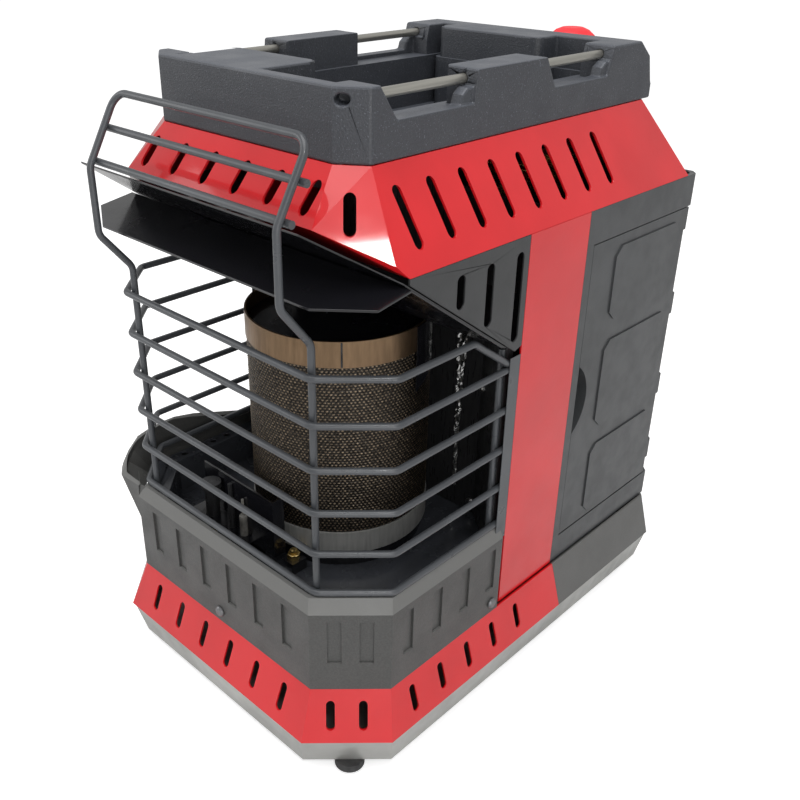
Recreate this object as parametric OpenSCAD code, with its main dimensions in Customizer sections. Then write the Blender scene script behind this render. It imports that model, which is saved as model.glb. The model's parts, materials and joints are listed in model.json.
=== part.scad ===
// Portable radiant propane heater: a cylindrical mesh burner stands behind a
// bent wire guard, a bay behind it takes a one pound cylinder, and a red sheet
// hood with a tray cap closes the top.  Front is -Y, up is +Z, millimetres.

/* [Body] */
// Width over the side panels
body_w = 224; // [220:1:236]
// Depth from the bumper face to the rear face
body_d = 319; // [313:1:333]
// Thickness of the outer sheet metal
sheet = 1.2; // [1:0.1:1.6]
// Wall of the moulded parts
mould_wall = 2.6; // [2.2:0.1:3.2]
// Gap left between neighbouring pieces
fit_gap = 0.15; // [0.1:0.05:0.3]

/* [Base] */
// Height of the rubber feet
foot_h = 7; // [5:0.5:10]
// Radius of the rubber feet
foot_r = 9; // [7:0.5:11]
// Height of the pale base pan
pan_h = 23; // [20:1:28]
// How far the pan tapers in at its floor
pan_taper = 6; // [4:0.5:8]
// Height of the flared red skirt
skirt_h = 30; // [26:1:34]
// How far the skirt stands out at the sides
skirt_out_x = 11; // [8:0.5:12]
// How far the skirt stands out at the front
skirt_out_y = 12; // [8:0.5:14]
// Corner cut of the skirt's lower edge
skirt_cut = 37; // [34:1:40]

/* [Bumper] */
// Height of the ribbed bumper
bumper_h = 62; // [58:1:68]
// How far the bumper stands out beyond the side panels
bumper_out = 2; // [1:0.5:3]
// Corner cut of the bumper
bumper_cut = 32.5; // [29:0.5:35]
// Height of the bevelled band at the bumper's rim
lip_h = 8; // [6:1:10]
// How far that band leans in
lip_lean = 3.5; // [2:0.5:4]
// Spacing of the pressed ribs
rib_pitch = 25; // [23:0.5:26]
// Width of a pressed rib
rib_w = 8; // [6:0.5:9]
// How far the left corner of the rim flares out
ear_out = 5.5; // [4:0.5:6.5]

/* [Hood] */
// Height from the door's upper edge to the hood's side edge
door_head = 22; // [20:1:25]
// Height of the hood from its side edge to its deck
hood_h = 45; // [42:1:48]
// Height of the hood at its front edge
hood_front_h = 24.5; // [22:0.5:27]
// Width of the hood's deck and of the cap
cap_w = 163; // [156:1:168]
// Distance of the cap's front face behind the bumper face
cap_setback = 36; // [34:1:39]
// Distance of the deck's rear edge ahead of the rear face
cap_rear = 27; // [25:1:29]
// How far the cap overhangs the deck at the rear
cap_over = 7; // [5:0.5:8]
// Width of the vent slots
slot_w = 6; // [5:0.5:7]
// Spacing of the vent slots in the hood's sides
slot_pitch = 23.8; // [22.6:0.2:24.6]
// Spacing of the vent slots in the hood's front
front_slot_pitch = 25.6; // [24.4:0.2:26.6]

/* [Cap] */
// Thickness of the cap's side walls at the notches
cap_wall = 8.5; // [7:0.5:10]
// Height of the cap's walls
cap_h = 35; // [32:1:38]
// Depth of the finger notches in the side walls
notch_h = 16.5; // [14:0.5:18]
// Length of the front finger notch
notch_front = 70; // [66:1:72]
// Length of the rear finger notch
notch_rear = 68; // [64:1:70]
// Radius of the steel handle rods
rod_r = 2.5; // [2:0.25:3]
// Depth of the basin below the cap's rim
basin_depth = 52; // [46:1:56]

/* [Burner] */
// Radius of the mesh burner
burner_r = 57; // [52:1:58]
// Distance of the burner's axis behind the bumper face
burner_y = 103.5; // [102:0.5:106]
// Height of the burner's lower edge above the floor
burner_z = 99; // [97:1:102]
// Height of the steel band at the burner's foot
foot_band_h = 16; // [12:1:20]
// Height of the bronze band at the burner's top
top_band_h = 16; // [12:1:18]

/* [Guard] */
// Diameter of the guard wire
wire_d = 4; // [3.5:0.1:4.4]
// Height of the lowest hoop
hoop_z = 124; // [122:0.5:125]
// Distance between the two uprights
upright_gap = 152; // [146:1:156]

/* [Gas bay and door] */
// Height of the door's lower edge above the floor
door_z = 80; // [76:1:84]
// Height of the door
door_h = 203; // [200:1:206]
// Distance of the door's free edge behind the bumper face
door_y = 200.5; // [199:0.5:203]
// Thickness of the door panel
door_t = 3; // [2.6:0.1:3.4]
// Radius of the door's hinge pin
pin_r = 1.5; // [1.3:0.1:1.8]
// Radius of the cylinder thread in the regulator
thread_r = 12.7; // [12:0.1:13.5]
// Depth of the cylinder thread in the regulator
thread_depth = 13; // [11:0.5:15]

/* [Control knob] */
// Radius of the knob
knob_r = 18; // [15:0.5:19]
// Height of the knob
knob_h = 27; // [24:1:30]
// How far the knob is pushed in to light the pilot
knob_travel = 4; // [3:0.5:5]
// Sideways place of the knob
knob_x = 12; // [0:1:20]
// How far the knob overhangs the rear face
knob_over = 9; // [7:0.5:11]

/* [Hidden] */
$fn = 48;

charcoal = "#4c4f53";
red = "#d8232a";
pale = "#b9b8b2";
steel = "#a9abad";
bronze = "#9a8468";
black = "#1c1d1f";
brass = "#b08d3c";

// Widths, depths and heights that the driving sizes settle
half_w = body_w / 2;
half_d = (skirt_out_y + body_d + knob_over) / 2;
face_y = -half_d + skirt_out_y;
rear_y = face_y + body_d;
pan_z = foot_h;
skirt_z = pan_z + pan_h;
bumper_z = skirt_z + skirt_h;
rim_z = bumper_z + bumper_h;
eave_z = door_z + door_h + door_head;
deck_z = eave_z + hood_h;
front_eave_z = deck_z - hood_front_h;
visor_z = eave_z - 12;
hood_front_y = face_y + 14.5;
cap_y = face_y + cap_setback;
cap_rear_y = rear_y - cap_rear;
cap_hw = cap_w / 2;
cap_cut = [15, 10.5];
cap_top = deck_z + cap_h;
band_y = [face_y + 135.5, face_y + 192.5];
bay_y = band_y[1] + fit_gap;
wall_y = band_y[1] - 3;
skirt_hw = half_w + skirt_out_x;
bumper_hw = half_w + bumper_out;

// The slanted ceiling runs from under the hood's front edge down to the wedge tips
slant_y = face_y + 41;
slant = 0.705;
slant_drop = 3.4;
function slant_z(y) = eave_z - slant_drop - slant * (y - slant_y);
wedge_tip_y = band_y[0] - 6.5;

// Burner heights
burner_c = face_y + burner_y;
mesh_z = burner_z + foot_band_h;
floor_z = burner_z - 12;

// The ceiling levels off over the burner, which stands just under it
ceiling_end = band_y[0] - 14;
ceiling_z = slant_z(ceiling_end) - sheet - 0.3;
burner_top = ceiling_z - 0.35;
top_band_z = burner_top - top_band_h;

// Reach of the blocks that cut pieces in two, beyond the whole part
far = 400;

// Outline with cut corners: half width, front, rear, front cut [x, y], rear cut
function cut_outline(hw, y0, y1, cut, rear_cut) = [
    [hw - cut[0], y0], [hw, y0 + cut[1]], [hw, y1 - rear_cut], [hw - rear_cut, y1],
    [-hw + rear_cut, y1], [-hw, y1 - rear_cut], [-hw, y0 + cut[1]], [-hw + cut[0], y0]];

module slab(points, z, t = 0.01) {
    translate([0, 0, z]) linear_extrude(t) polygon(points);
}

// A slot with round ends, standing up in its own X-Y plane
module slot_2d(w, len) {
    square([w, len - w], center = true);
    for (s = [-1, 1]) translate([0, s * (len - w) / 2]) circle(w / 2, $fn = 24);
}

// Cuts a slot through a wall that faces along Y, from height z0 to z1
module slot_y(x, y, z0, z1, w) {
    translate([x, y, (z0 + z1) / 2]) rotate([90, 0, 0])
        linear_extrude(60, center = true) slot_2d(w, z1 - z0);
}

// Cuts a slot through a wall that faces along X
module slot_x(x, y, z0, z1, w) {
    translate([x, y, (z0 + z1) / 2]) rotate([90, 0, 90])
        linear_extrude(60, center = true) slot_2d(w, z1 - z0);
}

// ---- bent wire -------------------------------------------------------------

// A bend is a hair thinner than the straights, which run a little way into it
bend_neck = 0.03;
bend_lap = 0.1;

function unit(v) = v / norm(v);
function turn(a, b) = acos(max(-1, min(1, a * b)));

// One straight stretch of wire from a to b
module wire_straight(a, b, r) {
    d = b - a;
    len = norm(d);
    translate(a) rotate([0, acos(d[2] / len), atan2(d[1], d[0])])
        cylinder(len, r, r, $fn = 24);
}

// One bend at corner p between directions d1 and d2
module wire_bend(p, d1, d2, bend, r) {
    angle = turn(d1, d2);
    n = unit(cross(d1, d2));
    start = p - d1 * bend * tan(angle / 2);
    side = cross(n, d1);
    centre = start + side * bend;
    multmatrix([
        [-side[0], d1[0], n[0], centre[0]],
        [-side[1], d1[1], n[1], centre[1]],
        [-side[2], d1[2], n[2], centre[2]],
        [0, 0, 0, 1]])
        rotate_extrude(angle = angle, $fn = 48) translate([bend, 0])
            circle(r - bend_neck, $fn = 24);
}

// A wire through the given corners, each corner rounded to the bend radius
module wire_run(pts, bend, r) {
    last = len(pts) - 1;
    dirs = [for (i = [0:last - 1]) unit(pts[i + 1] - pts[i])];
    trims = [for (i = [0:last]) (i == 0 || i == last) ? 0
        : bend * tan(turn(dirs[i - 1], dirs[i]) / 2)];
    for (i = [0:last - 1])
        wire_straight(pts[i] + dirs[i] * (trims[i] - (i == 0 ? 0 : bend_lap)),
            pts[i + 1] - dirs[i] * (trims[i + 1] - (i == last - 1 ? 0 : bend_lap)), r);
    for (i = [1:last - 1])
        wire_bend(pts[i], dirs[i - 1], dirs[i], bend, r);
}

// ---- base ------------------------------------------------------------------

module feet() {
    inset_x = 26;
    inset_y = 28;
    color(black)
    for (s = [-1, 1], y = [-half_d + inset_y, rear_y - inset_y])
        translate([s * (skirt_hw - inset_x), y, 0])
            rotate_extrude() polygon([[0, 0], [foot_r - 2, 0], [foot_r, 2],
                [foot_r, foot_h - fit_gap], [0, foot_h - fit_gap]]);
}

module pan_form(inset, drop) {
    top = [skirt_cut, skirt_cut];
    hull() {
        slab(cut_outline(skirt_hw - 1 - inset, -half_d + 1 + inset, rear_y - inset, top, 8),
            skirt_z - fit_gap);
        slab(cut_outline(skirt_hw - pan_taper - inset, -half_d + pan_taper + inset,
            rear_y - pan_taper / 2 - inset, top, 8), pan_z + drop);
    }
}

module base_pan() {
    color(pale)
    difference() {
        pan_form(0, 0);
        translate([0, 0, sheet]) pan_form(sheet, 0);
    }
}

module skirt_form(inset, grow) {
    hull() {
        slab(cut_outline(skirt_hw - inset, -half_d + inset, rear_y - inset,
            [skirt_cut, skirt_cut], 8), skirt_z - grow);
        slab(cut_outline(bumper_hw - inset, face_y + inset, rear_y - inset,
            [bumper_cut, bumper_cut], 8), bumper_z + grow);
    }
}

module skirt_shell(y0, y1) {
    intersection() {
        difference() {
            skirt_form(0, 0);
            skirt_form(sheet, 0.02);
        }
        translate([-far / 2, y0, 0]) cube([far, y1 - y0, far]);
    }
}

skirt_slot = [skirt_z + 6.8, skirt_z + 23.5];
skirt_slot_w = 5;

module lower_skirt() {
    first = face_y + 48;
    color(red)
    difference() {
        skirt_shell(-half_d - 1, band_y[1]);
        for (i = [-2.5:2.5])
            slot_y(i * rib_pitch, -half_d, skirt_slot[0], skirt_slot[1], skirt_slot_w);
        for (s = [-1, 1]) {
            for (i = [0:4])
                slot_x(s * skirt_hw, first + i * rib_pitch, skirt_slot[0], skirt_slot[1],
                    skirt_slot_w);
            translate([s * (skirt_hw - skirt_cut / 2), -half_d + skirt_cut / 2, 0])
                rotate([0, 0, s * 45])
                    for (i = [-1, 1])
                        slot_y(i * 9.4, 0, skirt_slot[0], skirt_slot[1], skirt_slot_w);
        }
    }
}

module rear_skirt() {
    color(charcoal) skirt_shell(bay_y, rear_y + 1);
}

// ---- bumper ----------------------------------------------------------------

bumper_rear_y = face_y + 131;
bumper_floor = bumper_z + 0.05;
rib_z = [bumper_z + 19, rim_z - 13];

function bumper_outline(inset) = cut_outline(bumper_hw - inset, face_y + inset,
    bumper_rear_y + 50, [bumper_cut, bumper_cut], 0);

// Upright wall with the bevelled band that leans in at its top
module bumper_form(inset, lean, top) {
    translate([0, 0, bumper_floor]) linear_extrude(rim_z - lip_h - bumper_floor)
        polygon(bumper_outline(inset));
    hull() {
        slab(bumper_outline(inset), rim_z - lip_h);
        slab(bumper_outline(inset + lean), top);
    }
}

// The left corner of the rim is drawn out into a scoop: [share of ear_out, y, z] of its
// edge, y behind the bumper face and z above the rim
ear_edge = [[-1.9, 2, -2], [-0.4, 7.6, -2.5], [0.5, 12, -2.2], [0.9, 18, 3.3],
    [1, 26.5, 10.6], [0.9, 34, 12.8], [0.7, 45, 15.1], [0.5, 55, 15.6], [0.4, 71, 12.5],
    [0.2, 90, 6.6], [0, 112, 0]];
ear_low = rim_z - 24;

module ear_form(inset, lift) {
    hw = bumper_hw - inset;
    front = face_y + inset;
    hull() {
        slab([[-hw + bumper_cut, front], [-hw, front + bumper_cut], [-hw, bumper_rear_y - 23]],
            ear_low);
        for (dz = [0, lift]) {
            translate([-hw + bumper_cut, front + 1, rim_z - 0.2 + dz]) cube(0.01, true);
            for (p = ear_edge)
                translate([-hw - p[0] * ear_out, face_y + p[1] + min(inset, 200 / p[1]),
                    rim_z + p[2] + dz])
                    cube(0.01, true);
        }
    }
}

module front_bumper() {
    groove = 1.4;
    color(charcoal)
    difference() {
        union() {
            bumper_form(0, lip_lean, rim_z - fit_gap);
            ear_form(0, 0);
        }
        translate([0, 0, -1]) bumper_form(mould_wall, lip_lean, rim_z + 1.1);
        translate([0, 0, bumper_floor - 1]) linear_extrude(2)
            polygon(bumper_outline(mould_wall));
        ear_form(mould_wall, 30);
        translate([-far / 2, bumper_rear_y, 0]) cube([far, far, far]);
        for (i = [-2.5:2.5])
            translate([i * rib_pitch - rib_w / 2, face_y - 10 + groove, rib_z[0]])
                cube([rib_w, 10, rib_z[1] - rib_z[0]]);
        for (i = [0:3])
            translate([bumper_hw - groove, face_y + 42 + i * rib_pitch, rib_z[0]])
                cube([10, rib_w, rib_z[1] - rib_z[0]]);
        for (s = [-1, 1])
            translate([s * (bumper_hw - bumper_cut / 2), face_y + bumper_cut / 2, 0])
                rotate([0, 0, s * 45])
                    for (i = [-1, 1])
                        translate([i * 9 - rib_w / 2, -10 + groove, rib_z[0]])
                            cube([rib_w, 10, rib_z[1] - rib_z[0]]);
        screw_places() cylinder(60, 1.8, 1.8, center = true);
    }
}

// Places and directions of the bumper's screws
module screw_places() {
    z = bumper_z + 8;
    translate([0, face_y, z]) rotate([90, 0, 0]) children();
    for (s = [-1, 1])
        translate([s * bumper_hw, bumper_rear_y - 7, z]) rotate([0, s * 90, 0]) children();
}

module pan_head_screw(r, len) {
    rotate_extrude($fn = 32) polygon([[0, -len], [r * 0.45, -len], [r * 0.45, 0], [r, 0],
        [r, 0.9], [r * 0.75, 1.9], [0, 2.2]]);
}

module bumper_screws() {
    color(steel) screw_places() translate([0, 0, fit_gap]) pan_head_screw(3.5, 6);
}

// ---- burner compartment ----------------------------------------------------

floor_in = 9;
flange_z = rim_z - 11;

// The floor is as wide as the bumper in front and as the body behind it
module floor_outline(inset) {
    hw = bumper_hw - mould_wall - fit_gap - inset;
    rear_hw = half_w - sheet - fit_gap - inset;
    y0 = face_y + mould_wall + fit_gap + inset;
    step_y = band_y[0] - 2 - inset;
    y1 = wall_y - fit_gap - inset;
    polygon([[hw - bumper_cut, y0], [hw, y0 + bumper_cut], [hw, step_y], [rear_hw, step_y],
        [rear_hw, y1], [-rear_hw, y1], [-rear_hw, step_y], [-hw, step_y],
        [-hw, y0 + bumper_cut], [-hw + bumper_cut, y0]]);
}

module burner_floor() {
    pitch = 12.4;
    hole_r = 2.2;
    color(charcoal)
    difference() {
        union() {
            translate([0, 0, flange_z]) linear_extrude(sheet) floor_outline(0);
            translate([0, 0, floor_z]) linear_extrude(flange_z - floor_z)
                floor_outline(floor_in);
        }
        translate([0, 0, floor_z + sheet]) linear_extrude(60) floor_outline(floor_in + sheet);
        for (i = [-6:6])
            translate([i * pitch, face_y + mould_wall + floor_in / 2, flange_z])
                cylinder(10, hole_r, hole_r, center = true, $fn = 24);
        for (s = [-1, 1], i = [0:6])
            translate([s * (bumper_hw - mould_wall - floor_in / 2), face_y + 42 + i * pitch,
                flange_z])
                cylinder(10, hole_r, hole_r, center = true, $fn = 24);
        translate([0, burner_c, floor_z]) cylinder(10, 14, 14, center = true);
        translate([pilot_x, pilot_y, floor_z]) cylinder(10, 2.2, 2.2, center = true, $fn = 24);
        // slots that the reflector stands in
        translate([0, 0, floor_z + sheet]) linear_extrude(40) reflector_profile(fit_gap);
    }
}

module ring(r_out, r_in, z0, z1) {
    translate([0, burner_c, z0]) difference() {
        cylinder(z1 - z0, r_out, r_out, $fn = 96);
        translate([0, 0, -1]) cylinder(z1 - z0 + 2, r_in, r_in, $fn = 96);
    }
}

module burner_pedestal() {
    color(charcoal) {
        ring(burner_r - 3, 14.2, floor_z + sheet + fit_gap, burner_z - 4);
        ring(burner_r - 3, burner_r - 6, burner_z - 4, burner_z - fit_gap);
    }
}

module foot_band() {
    color(steel) ring(burner_r, burner_r - 1.2, burner_z, mesh_z - fit_gap);
}

module burner_mesh() {
    color("#3b3733") ring(burner_r - 0.4, burner_r - 1.6, mesh_z, top_band_z - fit_gap);
}

module top_band() {
    color(bronze) ring(burner_r, burner_r - 1.2, top_band_z, burner_top);
}

// The inner plenum: a closed can on a short neck that the mixer tube feeds
module burner_core() {
    neck_r = 13.8;
    bore_r = mixer_r + fit_gap;
    can_r = burner_r - 2.6;
    wall = 2.4;
    base = burner_z + 3;
    top = burner_top - 8;
    color(black) translate([0, burner_c, 0]) rotate_extrude($fn = 96)
        polygon([[bore_r, floor_z + sheet + fit_gap], [neck_r, floor_z + sheet + fit_gap],
            [neck_r, base], [can_r, base], [can_r, top], [0, top + 2], [0, top - 1],
            [can_r - wall, top - 2], [can_r - wall, base + 2], [bore_r, base + 2]]);
}

// The mixer tube runs under the floor from the jet and turns up into the core
mixer_r = 11.25;
mixer_z = floor_z - 16;
mixer_y = band_y[0] + 2.5;
jet_y = mixer_y + 11;

module mixer_tube() {
    wall = 1.4;
    bell = [[0, mixer_y, mixer_z], [0, burner_c, mixer_z], [0, burner_c, floor_z + 10]];
    color(steel)
    difference() {
        union() {
            wire_run(bell, 14, mixer_r);
            translate([0, mixer_y - 1, mixer_z]) rotate([-90, 0, 0])
                cylinder(8, mixer_r, mixer_r + 3);
        }
        wire_run([bell[0] + [0, 8, 0], bell[1], bell[2] + [0, 0, 2]], 14, mixer_r - wall);
        translate([0, mixer_y - 0.9, mixer_z]) rotate([-90, 0, 0])
            cylinder(8.2, mixer_r - wall + 0.1, mixer_r - wall + 3.1);
    }
}

module gas_jet() {
    color(brass) translate([0, jet_y, mixer_z]) rotate([-90, 0, 0]) {
        translate([0, 0, -6]) cylinder(6, 2.6, 3.6);
        cylinder(10, 5, 5, $fn = 6);
        translate([0, 0, 10]) cylinder(6, 3.6, 3.6);
    }
}

module jet_bracket() {
    color(steel) difference() {
        translate([-16, jet_y + 10 + fit_gap, pan_z + sheet + fit_gap])
            cube([32, sheet, mixer_z + 12 - pan_z - sheet]);
        translate([0, jet_y + 10, mixer_z]) rotate([90, 0, 0])
            cylinder(10, 3.75, 3.75, center = true, $fn = 32);
    }
    color(steel) translate([-16, jet_y + 10 + fit_gap, pan_z + sheet + fit_gap])
        cube([32, 14, sheet]);
}

// Folded sheet behind the burner: a back panel, two slanted wings and front flanges
module reflector_profile(grow) {
    back_y = burner_c + burner_r + 8;
    wing_x = 62;
    flange_y = band_y[0] - 7;
    hw = half_w - 5 + grow;
    inner = half_w - 5 - sheet - grow;
    rear = back_y + sheet + grow;
    polygon([[-wing_x, back_y - grow], [wing_x, back_y - grow], [inner, flange_y + 6],
        [inner, flange_y - grow], [hw, flange_y - grow], [hw, flange_y + 6.5 + grow],
        [wing_x + 0.5, rear], [-wing_x - 0.5, rear], [-hw, flange_y + 6.5 + grow],
        [-hw, flange_y - grow], [-inner, flange_y - grow], [-inner, flange_y + 6]]);
}

module rear_reflector() {
    z0 = floor_z + sheet + fit_gap;
    color(steel) translate([0, 0, z0]) linear_extrude(burner_top - z0) reflector_profile(0);
}

// ---- wire guard ------------------------------------------------------------

wire_r = wire_d / 2;
hoop_y = face_y + 7.6;
hoop_x = upright_gap / 2 + 3.3;
hoop_side = half_w - 2.5;
hoop_rear = band_y[0] - 4;
hoop_cut = hoop_side - hoop_x;
hoop_count = 6;
hoop_top = slant_z(wedge_tip_y) + 14.5;
hoop_pitch = (hoop_top - hoop_z) / (hoop_count - 1);
hoop_bend = 6;
upright_bend = 9;

// Hoops are numbered from the lowest; the highest dips under the visor at its ends
module hoop(i) {
    z = hoop_z + (i - 1) * hoop_pitch;
    c = hoop_y + hoop_cut;
    front = [[-hoop_side, c, z], [-hoop_x, hoop_y, z], [hoop_x, hoop_y, z],
        [hoop_side, c, z]];
    dip_y = hoop_rear - 36;
    end_y = hoop_rear - 5;
    end_z = z - slant * (end_y - dip_y);
    color(charcoal)
    if (i == hoop_count) {
        wire_run(concat([[-hoop_side, end_y, end_z], [-hoop_side, dip_y, z]], front,
            [[hoop_side, dip_y, z], [hoop_side, end_y, end_z]]), hoop_bend, wire_r);
    } else {
        wire_run(concat([[-hoop_side, hoop_rear, z]], front, [[hoop_side, hoop_rear, z]]),
            hoop_bend, wire_r);
    }
}

module guard_hoop_1() { hoop(1); }
module guard_hoop_2() { hoop(2); }
module guard_hoop_3() { hoop(3); }
module guard_hoop_4() { hoop(4); }
module guard_hoop_5() { hoop(5); }
module guard_hoop_6() { hoop(6); }

// The two uprights and the top bar are one wire that steps out around the visor
upright_y = hoop_y + wire_d + fit_gap;
upright_out = face_y - 6.8;
upright_pts = [[upright_y, hoop_z - 3], [upright_y, visor_z - 23], [upright_out, visor_z],
    [upright_out, front_eave_z + 5.5], [face_y + 14, deck_z + 17]];

module guard_uprights() {
    x = upright_gap / 2;
    left = [for (p = upright_pts) [-x, p[0], p[1]]];
    right = [for (i = [len(upright_pts) - 1:-1:0]) [x, upright_pts[i][0], upright_pts[i][1]]];
    color(charcoal) wire_run(concat(left, right), upright_bend, wire_r);
}

module guard_top_wires() {
    x = upright_gap / 2 + 4;
    away = wire_d + fit_gap;
    a = upright_pts[3];
    b = upright_pts[4];
    along = unit(b - a);
    back = [along[1], -along[0]];
    color(charcoal)
    for (s = [4, 23]) {
        p = a + along * s + back * away;
        wire_straight([-x, p[0], p[1]], [x, p[0], p[1]], wire_r);
    }
}

module guard_rear_posts() {
    x = hoop_side - wire_d - fit_gap;
    color(charcoal)
    for (s = [-1, 1])
        wire_straight([s * x, hoop_rear - 5, flange_z + sheet + fit_gap],
            [s * x, hoop_rear - 5, hoop_top - 14], wire_r);
}

// ---- sheet over the burner -------------------------------------------------

visor_y = face_y + 1.7;
visor_bend = face_y + 40;
visor_rear = band_y[0] - 21;
visor_rise = 6.2;
visor_flat = 86;
visor_hw = half_w + 2;
visor_rear_z = visor_z + visor_rise - slant * (visor_rear - visor_bend);

// A bent sheet in the Y-Z plane, drawn across the full width
module bent_sheet(pts, t, hw) {
    rotate([90, 0, 90]) translate([0, 0, -hw]) linear_extrude(2 * hw)
        polygon(concat(pts, [for (i = [len(pts) - 1:-1:0]) pts[i] + [0, t]]));
}

// Sheet over the burner: level in front with its corners cut, then slanting down
module visor() {
    corner_y = face_y + 18;
    color(black)
    intersection() {
        bent_sheet([[visor_y, visor_z], [visor_bend, visor_z + visor_rise],
            [visor_rear, visor_rear_z]], sheet, visor_hw);
        linear_extrude(far) polygon([[visor_flat, visor_y], [visor_hw, corner_y],
            [visor_hw, visor_rear], [-visor_hw, visor_rear], [-visor_hw, corner_y],
            [-visor_flat, visor_y]]);
    }
}

// Slants down from under the hood's front edge, then runs level to the bay wall; its
// left front corner stands out square, its right one is cut
module ceiling_plate() {
    hw = half_w - sheet - 2 * fit_gap;
    y0 = face_y + 7;
    under = sheet + 0.3;
    color(black)
    intersection() {
        bent_sheet([[y0, slant_z(y0) - under], [ceiling_end, slant_z(ceiling_end) - under],
            [wall_y - fit_gap, ceiling_z]], sheet, hw);
        linear_extrude(far) polygon([[hw - 36, y0], [hw, y0 + 32], [hw, wall_y],
            [-hw, wall_y], [-hw, y0]]);
    }
}

// Side cheek between the hood's edge and the slanted ceiling
module wedge_panel(s) {
    top_z = eave_z - fit_gap;
    x0 = half_w - sheet;
    slots = [[face_y + 79, top_z - 26], [face_y + 102.5, top_z - 42.5],
        [face_y + 127.5, top_z - 59]];
    color(charcoal)
    translate([s > 0 ? x0 : -x0 - sheet, 0, 0])
    difference() {
        rotate([90, 0, 90]) linear_extrude(sheet)
            polygon([[slant_y, slant_z(slant_y)], [slant_y, top_z],
                [band_y[0] - fit_gap, top_z],
                [band_y[0] - fit_gap, slant_z(wedge_tip_y) + 2],
                [wedge_tip_y, slant_z(wedge_tip_y)]]);
        for (p = slots) slot_x(0, p[0], p[1], top_z - 8, 6.2);
    }
}

module wedge_panel_right() { wedge_panel(1); }
module wedge_panel_left() { wedge_panel(-1); }

// ---- red hood --------------------------------------------------------------

// Convex form of the hood, drawn in by t on every side
module hood_form(t, lift) {
    front_c = [half_w - 37, hood_front_y, front_eave_z];
    elbow = [half_w - 4.3, face_y + 35.9, eave_z + 6];
    top = cut_outline(cap_hw - t, cap_y + t, cap_rear_y - t, cap_cut, 4);
    low = [[half_w - t, slant_y], [half_w - t, rear_y - 14], [half_w - t - 12, rear_y - 2 - t],
        [-half_w + t + 12, rear_y - 2 - t], [-half_w + t, rear_y - 14], [-half_w + t, slant_y]];
    hull() {
        slab(top, deck_z - lift);
        slab(low, eave_z);
        for (s = [-1, 1]) {
            translate([s * (front_c[0] - t), front_c[1] + t, front_c[2]]) cube(0.01, true);
            translate([s * (elbow[0] - t), elbow[1] + t, elbow[2]]) cube(0.01, true);
        }
    }
}

basin_hw = cap_hw - 21.5;
basin_y = [cap_y + 10, cap_rear_y - 28];

module hood() {
    first = face_y + 55.5;
    color(red)
    difference() {
        hood_form(0, 0.02);
        translate([0, 0, -0.02]) hood_form(sheet, sheet);
        // way through the deck for the basin
        translate([-basin_hw - 1, basin_y[0] - 1, deck_z - 5])
            cube([2 * basin_hw + 2, basin_y[1] - basin_y[0] + 2, 10]);
        // vents
        for (i = [-2.5:2.5])
            slot_y(i * front_slot_pitch, face_y + 20, deck_z - 21, deck_z - 6.5, slot_w + 0.6);
        for (s = [-1, 1]) {
            for (i = [0:7])
                slot_x(s * half_w, first + i * slot_pitch, deck_z - 36, deck_z - 9, slot_w);
            translate([s * 84, face_y + 30, 0]) rotate([0, 0, s * 45])
                slot_y(0, 0, deck_z - 27.5, deck_z - 10, slot_w);
        }
        // way for the valve stem
        translate([knob_x, knob_y, eave_z]) cylinder(60, 4.5, 4.5);
    }
}

// ---- side bands, housing, bay ----------------------------------------------

module side_band(s) {
    x0 = half_w - sheet;
    color(red)
    translate([s > 0 ? x0 : -half_w, band_y[0], bumper_z + fit_gap])
        cube([sheet, band_y[1] - band_y[0], eave_z - bumper_z - 2 * fit_gap]);
}

module side_band_right() { side_band(1); }
module side_band_left() { side_band(-1); }

housing_z = [bumper_z + fit_gap, eave_z - fit_gap];
hinge = [half_w - 4.5, rear_y - 4.5];

module housing_outline(inset) {
    hw = half_w - inset;
    y1 = rear_y - inset;
    polygon([[-hw, bay_y - 1], [hw, bay_y - 1], [hw, y1 - 4], [hw - 4, y1], [-hw + 4, y1],
        [-hw, y1 - 4]]);
}

module rear_housing() {
    open_gap = 0.8;
    boss_z = [housing_z[0] + 12, door_z + door_h + 1.2];
    color(charcoal)
    difference() {
        union() {
            difference() {
                translate([0, 0, housing_z[0]]) linear_extrude(housing_z[1] - housing_z[0])
                    difference() {
                        housing_outline(0);
                        housing_outline(mould_wall);
                    }
                translate([-far / 2, bay_y - 10, 0]) cube([far, 10, far]);
                // door opening, run out past the corner so that the door can swing
                translate([hinge[0] - knuckle_r - 0.5, face_y + door_y - open_gap,
                    door_z - open_gap])
                    cube([30, 200, door_h + 2 * open_gap]);
            }
            for (z = boss_z)
                translate([hinge[0] - 4, hinge[1] - 3.5, z]) cube([5.5, 6, 6]);
        }
        // bore for the hinge pin
        translate([hinge[0], hinge[1], housing_z[0] + 9])
            cylinder(door_z + door_h - housing_z[0], pin_r + fit_gap, pin_r + fit_gap,
                $fn = 32);
        // louvres low in the rear wall
        for (i = [0:3])
            translate([-30, rear_y, housing_z[0] + 14 + i * 9]) rotate([90, 0, 0])
                linear_extrude(20, center = true) rotate(90) slot_2d(4, 40);
        housing_screw_places() cylinder(20, 1.7, 1.7, center = true, $fn = 24);
    }
}

module housing_screw_places() {
    for (x = [-90, 90], z = [housing_z[0] + 12, housing_z[1] - 12])
        translate([x, rear_y + fit_gap, z]) rotate([-90, 0, 0]) children();
}

// Wall between the burner and the gas bay, with ways through for the two tubes
module bay_wall() {
    x = half_w - sheet - fit_gap;
    color(steel) difference() {
        translate([-x, wall_y, bumper_z + 4])
            cube([2 * x, sheet, eave_z - bumper_z - 6]);
        for (p = [[main_x, mixer_z, 3.2], [pilot_x, mixer_z + 5, 2.4]])
            translate([p[0], wall_y, p[1]]) rotate([90, 0, 0])
                cylinder(10, p[2], p[2], center = true, $fn = 32);
    }
}

bay_c = (band_y[1] + rear_y) / 2;
cylinder_r = 51;

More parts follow.
